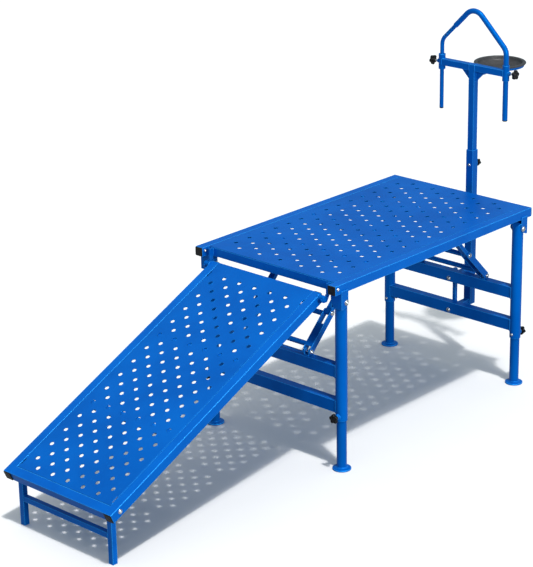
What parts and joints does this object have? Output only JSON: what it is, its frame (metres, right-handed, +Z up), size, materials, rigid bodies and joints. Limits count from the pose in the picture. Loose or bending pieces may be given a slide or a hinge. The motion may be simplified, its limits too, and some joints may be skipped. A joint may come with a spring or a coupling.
{
  "type": "livestock grooming table",
  "caption": "Portable livestock grooming table: perforated steel deck on folding height-adjustable legs, hook-on perforated ramp with folding foot, mast with neck yoke and feed bowl.",
  "frame": {"origin": "floor level, in the middle of the whole table's outline: ramp foot at -X, bowl at +X, middle of the deck's width", "axes": "+X runs up the ramp and along the deck to the mast and yoke, +Y to the left side of an animal facing the yoke, +Z up from the floor"},
  "size_m": [2.1992, 0.6114, 1.2522],
  "materials": {
    "blue_coat": "satin powder coat",
    "zinc": "bright zinc plate",
    "black_plastic": "moulded, slight sheen",
    "grey_bowl": "moulded rubbery plastic"
  },
  "bodies": {
    "deck": {"deck_frame": "blue_coat", "deck_sheet": "blue_coat", "deck_plugs": "black_plastic", "leg_brackets": "blue_coat", "pivot_bolts": "zinc", "brace_anchors": "blue_coat", "anchor_bolts": "zinc", "ramp_cradles": "blue_coat", "rail_bolts": "zinc"},
    "near_legs": {"near_leg_frame": "blue_coat", "near_clevises": "blue_coat", "near_clevis_bolts": "zinc"},
    "far_legs": {"far_leg_frame": "blue_coat", "far_clevises": "blue_coat", "far_clevis_bolts": "zinc", "far_leg_screws": "zinc", "mast_bracket": "blue_coat", "mast_bracket_bolts": "zinc", "mast_outer": "blue_coat", "mast_screw": "zinc"},
    "near_lower_link": {"near_brace_lower": "blue_coat", "near_knee_bolts": "zinc"},
    "near_upper_link": {"near_brace_upper": "blue_coat"},
    "far_lower_link": {"far_brace_lower": "blue_coat", "far_knee_bolts": "zinc"},
    "far_upper_link": {"far_brace_upper": "blue_coat"},
    "foot_nr": {"inner_leg_nr": "blue_coat"},
    "foot_nl": {"inner_leg_nl": "blue_coat"},
    "foot_fr": {"inner_leg_fr": "blue_coat"},
    "foot_fl": {"inner_leg_fl": "blue_coat"},
    "clamp_nr": {"knob_nr": "black_plastic"},
    "clamp_nl": {"knob_nl": "black_plastic"},
    "clamp_fr": {"knob_fr": "black_plastic"},
    "clamp_fl": {"knob_fl": "black_plastic"},
    "mast_clamp": {"mast_knob": "black_plastic"},
    "mast_slider": {"mast_inner": "blue_coat", "bowl_holder": "blue_coat"},
    "yoke": {"yoke_main": "blue_coat", "yoke_left": "blue_coat", "yoke_plugs": "black_plastic"},
    "yoke_clamp_r": {"yoke_knob_r": "black_plastic"},
    "yoke_clamp_l": {"yoke_knob_l": "black_plastic"},
    "bowl": {"feed_bowl": "grey_bowl"},
    "ramp": {"ramp_frame": "blue_coat", "ramp_sheet": "blue_coat", "ramp_hook_pins": "blue_coat", "ramp_plugs": "black_plastic", "ramp_foot_bolts": "zinc"},
    "ramp_foot_frame": {"ramp_foot": "blue_coat"}
  },
  "joints": [
    {"name": "near_leg_fold", "type": "hinge", "parent": "deck", "child": "near_legs", "pos_m": [-0.15535, 0, 0.562], "axis": [0, -1, 0], "range_deg": [0, 70]},
    {"name": "far_leg_fold", "type": "hinge", "parent": "deck", "child": "far_legs", "pos_m": [0.75465, 0, 0.562], "axis": [0, 1, 0], "range_deg": [0, 84]},
    {"name": "near_upper_turn", "type": "hinge", "parent": "deck", "child": "near_upper_link", "pos_m": [0.04465, 0, 0.562], "axis": [0, 1, 0], "range_deg": [0, 41.28]},
    {"name": "near_lower_turn", "type": "hinge", "parent": "near_legs", "child": "near_lower_link", "pos_m": [-0.15535, 0, 0.362], "axis": [0, -1, 0], "range_deg": [0, 41.28]},
    {"name": "far_upper_turn", "type": "hinge", "parent": "deck", "child": "far_upper_link", "pos_m": [0.55465, 0, 0.562], "axis": [0, -1, 0], "range_deg": [0, 44.26]},
    {"name": "far_lower_turn", "type": "hinge", "parent": "far_legs", "child": "far_lower_link", "pos_m": [0.75465, 0, 0.362], "axis": [0, 1, 0], "range_deg": [0, 44.26]},
    {"name": "leg_slide_nr", "type": "slide", "parent": "near_legs", "child": "foot_nr", "axis": [0, 0, 1], "range_m": [-0.15, 0]},
    {"name": "leg_slide_nl", "type": "slide", "parent": "near_legs", "child": "foot_nl", "axis": [0, 0, 1], "range_m": [-0.15, 0]},
    {"name": "leg_slide_fr", "type": "slide", "parent": "far_legs", "child": "foot_fr", "axis": [0, 0, 1], "range_m": [-0.15, 0]},
    {"name": "leg_slide_fl", "type": "slide", "parent": "far_legs", "child": "foot_fl", "axis": [0, 0, 1], "range_m": [-0.15, 0]},
    {"name": "knob_turn_nr", "type": "hinge", "parent": "near_legs", "child": "clamp_nr", "pos_m": [-0.18035, -0.2757, 0.182], "axis": [-1, 0, 0], "continuous": true},
    {"name": "knob_turn_nl", "type": "hinge", "parent": "near_legs", "child": "clamp_nl", "pos_m": [-0.18035, 0.2757, 0.182], "axis": [-1, 0, 0], "continuous": true},
    {"name": "knob_turn_fr", "type": "hinge", "parent": "far_legs", "child": "clamp_fr", "pos_m": [0.77965, -0.2757, 0.182], "axis": [1, 0, 0], "continuous": true},
    {"name": "knob_turn_fl", "type": "hinge", "parent": "far_legs", "child": "clamp_fl", "pos_m": [0.77965, 0.2757, 0.182], "axis": [1, 0, 0], "continuous": true},
    {"name": "mast_knob_turn", "type": "hinge", "parent": "far_legs", "child": "mast_clamp", "pos_m": [0.87965, 0, 0.707], "axis": [1, 0, 0], "continuous": true},
    {"name": "mast_slide", "type": "slide", "parent": "far_legs", "child": "mast_slider", "axis": [0, 0, 1], "range_m": [-0.1, 0.12]},
    {"name": "yoke_slide", "type": "slide", "parent": "mast_slider", "child": "yoke", "axis": [0, 0, 1], "range_m": [-0.03, 0.1]},
    {"name": "yoke_knob_turn_r", "type": "hinge", "parent": "mast_slider", "child": "yoke_clamp_r", "pos_m": [0.85965, -0.149, 1.05], "axis": [0, -1, 0], "continuous": true},
    {"name": "yoke_knob_turn_l", "type": "hinge", "parent": "mast_slider", "child": "yoke_clamp_l", "pos_m": [0.85965, 0.149, 1.05], "axis": [0, 1, 0], "continuous": true},
    {"name": "bowl_lift", "type": "slide", "parent": "mast_slider", "child": "bowl", "axis": [0, 0, 1], "range_m": [0, 0.12]},
    {"name": "ramp_swing", "type": "hinge", "parent": "deck", "child": "ramp", "pos_m": [-0.20335, 0, 0.577], "axis": [0, 1, 0], "range_deg": [0, 75]},
    {"name": "ramp_foot_fold", "type": "hinge", "parent": "ramp", "child": "ramp_foot_frame", "pos_m": [-1.05997, 0, 0.17749], "axis": [0, -1, 0], "range_deg": [0, 113]}
  ],
  "couplings": [
    {"joint": "near_upper_turn", "follows": "near_leg_fold", "ratio": 0.58263},
    {"joint": "near_lower_turn", "follows": "near_leg_fold", "ratio": 0.58263},
    {"joint": "far_upper_turn", "follows": "far_leg_fold", "ratio": 0.5209},
    {"joint": "far_lower_turn", "follows": "far_leg_fold", "ratio": 0.5209}
  ]
}
